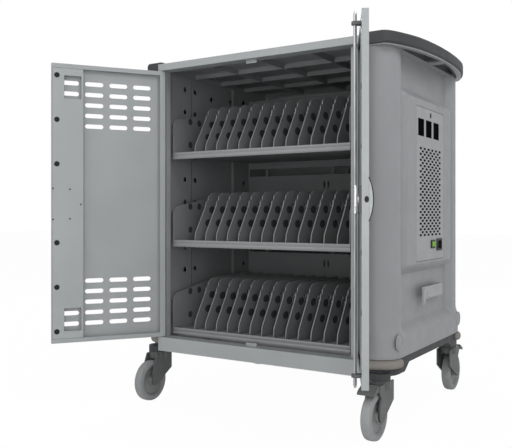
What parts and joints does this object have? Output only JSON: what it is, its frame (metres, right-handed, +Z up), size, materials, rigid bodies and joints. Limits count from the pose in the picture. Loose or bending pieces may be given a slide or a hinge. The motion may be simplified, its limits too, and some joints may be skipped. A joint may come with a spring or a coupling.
{
  "type": "laptop charging cart",
  "caption": "grey steel laptop charging cart on swivel casters, with hinged doors, pull-out trays of dividers and moulded sides with bow handles",
  "frame": {"origin": "centre of the part's bounding box on the floor, with the doors open as at rest", "axes": "+Z up, the front doors face -Y, +X is the side with the control panel"},
  "size_m": [1.0406, 1.0108, 1.07],
  "materials": {
    "light_steel": "light grey satin powder coat",
    "dark_steel": "dark grey powder coat",
    "dark_moulding": "dark grey grained moulding",
    "grey_moulding": "mid grey grained moulding",
    "bumper_rubber": "brown-grey rubber",
    "black_plastic": "black plastic",
    "green_plastic": "green lit plastic",
    "bright_steel": "bright zinc plate",
    "caster_plastic": "dark grey nylon",
    "wheel_rubber": "grey non-marking rubber"
  },
  "bodies": {
    "cabinet": {"front_frame": "light_steel", "rear_frame": "light_steel", "control_panel": "light_steel", "cord_hook": "light_steel", "base_frame": "dark_steel", "left_wall": "dark_steel", "right_wall": "dark_steel", "rear_partition": "dark_steel", "power_controller": "dark_steel", "top_cover": "dark_moulding", "skirt_left": "dark_moulding", "skirt_right": "dark_moulding", "side_shell_left": "grey_moulding", "side_shell_right": "grey_moulding", "bumper_front_left": "bumper_rubber", "bumper_front_right": "bumper_rubber", "bumper_rear_left": "bumper_rubber", "bumper_rear_right": "bumper_rubber", "power_strip_1": "black_plastic", "power_strip_2": "black_plastic", "power_strip_3": "black_plastic", "status_display": "black_plastic", "rocker_bezel": "black_plastic", "power_inlet": "black_plastic", "left_hinge_pin_upper": "bright_steel", "left_hinge_pin_lower": "bright_steel", "right_hinge_pin_upper": "bright_steel", "right_hinge_pin_lower": "bright_steel"},
    "left_door_leaf": {"left_door": "light_steel", "left_door_stiffener": "light_steel"},
    "right_door_leaf": {"right_door": "light_steel", "right_door_stiffener": "light_steel", "door_pull": "grey_moulding", "lock_case": "dark_steel", "rod_guide_upper": "dark_steel", "rod_guide_lower": "dark_steel"},
    "lock_cam_body": {"lock_cam": "bright_steel"},
    "upper_rod_body": {"upper_rod": "bright_steel"},
    "lower_rod_body": {"lower_rod": "bright_steel"},
    "rear_door_left_leaf": {"rear_door_left": "light_steel"},
    "rear_door_right_leaf": {"rear_door_right": "light_steel"},
    "rocker_body": {"power_rocker": "green_plastic"},
    "tray_1_body": {"tray_1": "dark_steel", "tray_lip_1": "light_steel"},
    "tray_2_body": {"tray_2": "dark_steel", "tray_lip_2": "light_steel"},
    "tray_3_body": {"tray_3": "dark_steel", "tray_lip_3": "light_steel"},
    "fork_front_left": {"caster_fork_front_left": "caster_plastic"},
    "wheel_front_left": {"caster_wheel_front_left": "wheel_rubber"},
    "fork_front_right": {"caster_fork_front_right": "caster_plastic"},
    "wheel_front_right": {"caster_wheel_front_right": "wheel_rubber"},
    "fork_rear_left": {"caster_fork_rear_left": "caster_plastic"},
    "wheel_rear_left": {"caster_wheel_rear_left": "wheel_rubber"},
    "fork_rear_right": {"caster_fork_rear_right": "caster_plastic"},
    "wheel_rear_right": {"caster_wheel_rear_right": "wheel_rubber"},
    "pedal_front_right": {"brake_pedal_front_right": "caster_plastic"},
    "pedal_rear_right": {"brake_pedal_rear_right": "caster_plastic"}
  },
  "joints": [
    {"name": "left_door_hinge", "type": "hinge", "parent": "cabinet", "child": "left_door_leaf", "pos_m": [-0.32229, -0.1981, 0.621], "axis": [0, 0, -1], "range_deg": [-124.5, 45.5]},
    {"name": "right_door_hinge", "type": "hinge", "parent": "cabinet", "child": "right_door_leaf", "pos_m": [0.35571, -0.1981, 0.621], "axis": [0, 0, 1], "range_deg": [-116, 54]},
    {"name": "rear_door_left_hinge", "type": "hinge", "parent": "cabinet", "child": "rear_door_left_leaf", "pos_m": [-0.32229, 0.4619, 0.621], "axis": [0, 0, 1], "range_deg": [0, 110]},
    {"name": "rear_door_right_hinge", "type": "hinge", "parent": "cabinet", "child": "rear_door_right_leaf", "pos_m": [0.35571, 0.4619, 0.621], "axis": [0, 0, -1], "range_deg": [0, 110]},
    {"name": "lock_cam_turn", "type": "hinge", "parent": "right_door_leaf", "child": "lock_cam_body", "pos_m": [0.49161, -0.47673, 0.621], "axis": [-0.8988, -0.4384, 0], "range_deg": [0, 90]},
    {"name": "upper_rod_slide", "type": "slide", "parent": "right_door_leaf", "child": "upper_rod_body", "axis": [0, 0, 1], "range_m": [0, 0.01414]},
    {"name": "lower_rod_slide", "type": "slide", "parent": "right_door_leaf", "child": "lower_rod_body", "axis": [0, 0, -1], "range_m": [0, 0.0142]},
    {"name": "rocker_tip", "type": "hinge", "parent": "cabinet", "child": "rocker_body", "pos_m": [0.43501, 0.1499, 0.4995], "axis": [0, 0, 1], "range_deg": [0, 16]},
    {"name": "tray_1_slide", "type": "slide", "parent": "cabinet", "child": "tray_1_body", "axis": [0, -1, 0], "range_m": [0, 0.32]},
    {"name": "tray_2_slide", "type": "slide", "parent": "cabinet", "child": "tray_2_body", "axis": [0, -1, 0], "range_m": [0, 0.32]},
    {"name": "tray_3_slide", "type": "slide", "parent": "cabinet", "child": "tray_3_body", "axis": [0, -1, 0], "range_m": [0, 0.32]},
    {"name": "swivel_front_left", "type": "hinge", "parent": "cabinet", "child": "fork_front_left", "pos_m": [-0.36429, -0.1681, 0.15], "axis": [0, 0, 1], "continuous": true},
    {"name": "roll_front_left", "type": "hinge", "parent": "fork_front_left", "child": "wheel_front_left", "pos_m": [-0.36429, -0.2051, 0.0625], "axis": [1, 0, 0], "continuous": true},
    {"name": "swivel_front_right", "type": "hinge", "parent": "cabinet", "child": "fork_front_right", "pos_m": [0.39771, -0.1681, 0.15], "axis": [0, 0, 1], "continuous": true},
    {"name": "roll_front_right", "type": "hinge", "parent": "fork_front_right", "child": "wheel_front_right", "pos_m": [0.39771, -0.2051, 0.0625], "axis": [1, 0, 0], "continuous": true},
    {"name": "brake_front_right", "type": "hinge", "parent": "fork_front_right", "child": "pedal_front_right", "pos_m": [0.39771, -0.2171, 0.139], "axis": [1, 0, 0], "range_deg": [0, 14]},
    {"name": "swivel_rear_left", "type": "hinge", "parent": "cabinet", "child": "fork_rear_left", "pos_m": [-0.36429, 0.4059, 0.15], "axis": [0, 0, 1], "continuous": true},
    {"name": "roll_rear_left", "type": "hinge", "parent": "fork_rear_left", "child": "wheel_rear_left", "pos_m": [-0.36429, 0.4429, 0.0625], "axis": [1, 0, 0], "continuous": true},
    {"name": "swivel_rear_right", "type": "hinge", "parent": "cabinet", "child": "fork_rear_right", "pos_m": [0.39771, 0.4059, 0.15], "axis": [0, 0, 1], "continuous": true},
    {"name": "roll_rear_right", "type": "hinge", "parent": "fork_rear_right", "child": "wheel_rear_right", "pos_m": [0.39771, 0.4429, 0.0625], "axis": [1, 0, 0], "continuous": true},
    {"name": "brake_rear_right", "type": "hinge", "parent": "fork_rear_right", "child": "pedal_rear_right", "pos_m": [0.39771, 0.4549, 0.139], "axis": [-1, 0, 0], "range_deg": [0, 14]}
  ],
  "couplings": [
    {"joint": "lock_cam_turn", "follows": "upper_rod_slide", "rad_per_m": 111.07},
    {"joint": "lower_rod_slide", "follows": "upper_rod_slide", "ratio": 1}
  ]
}
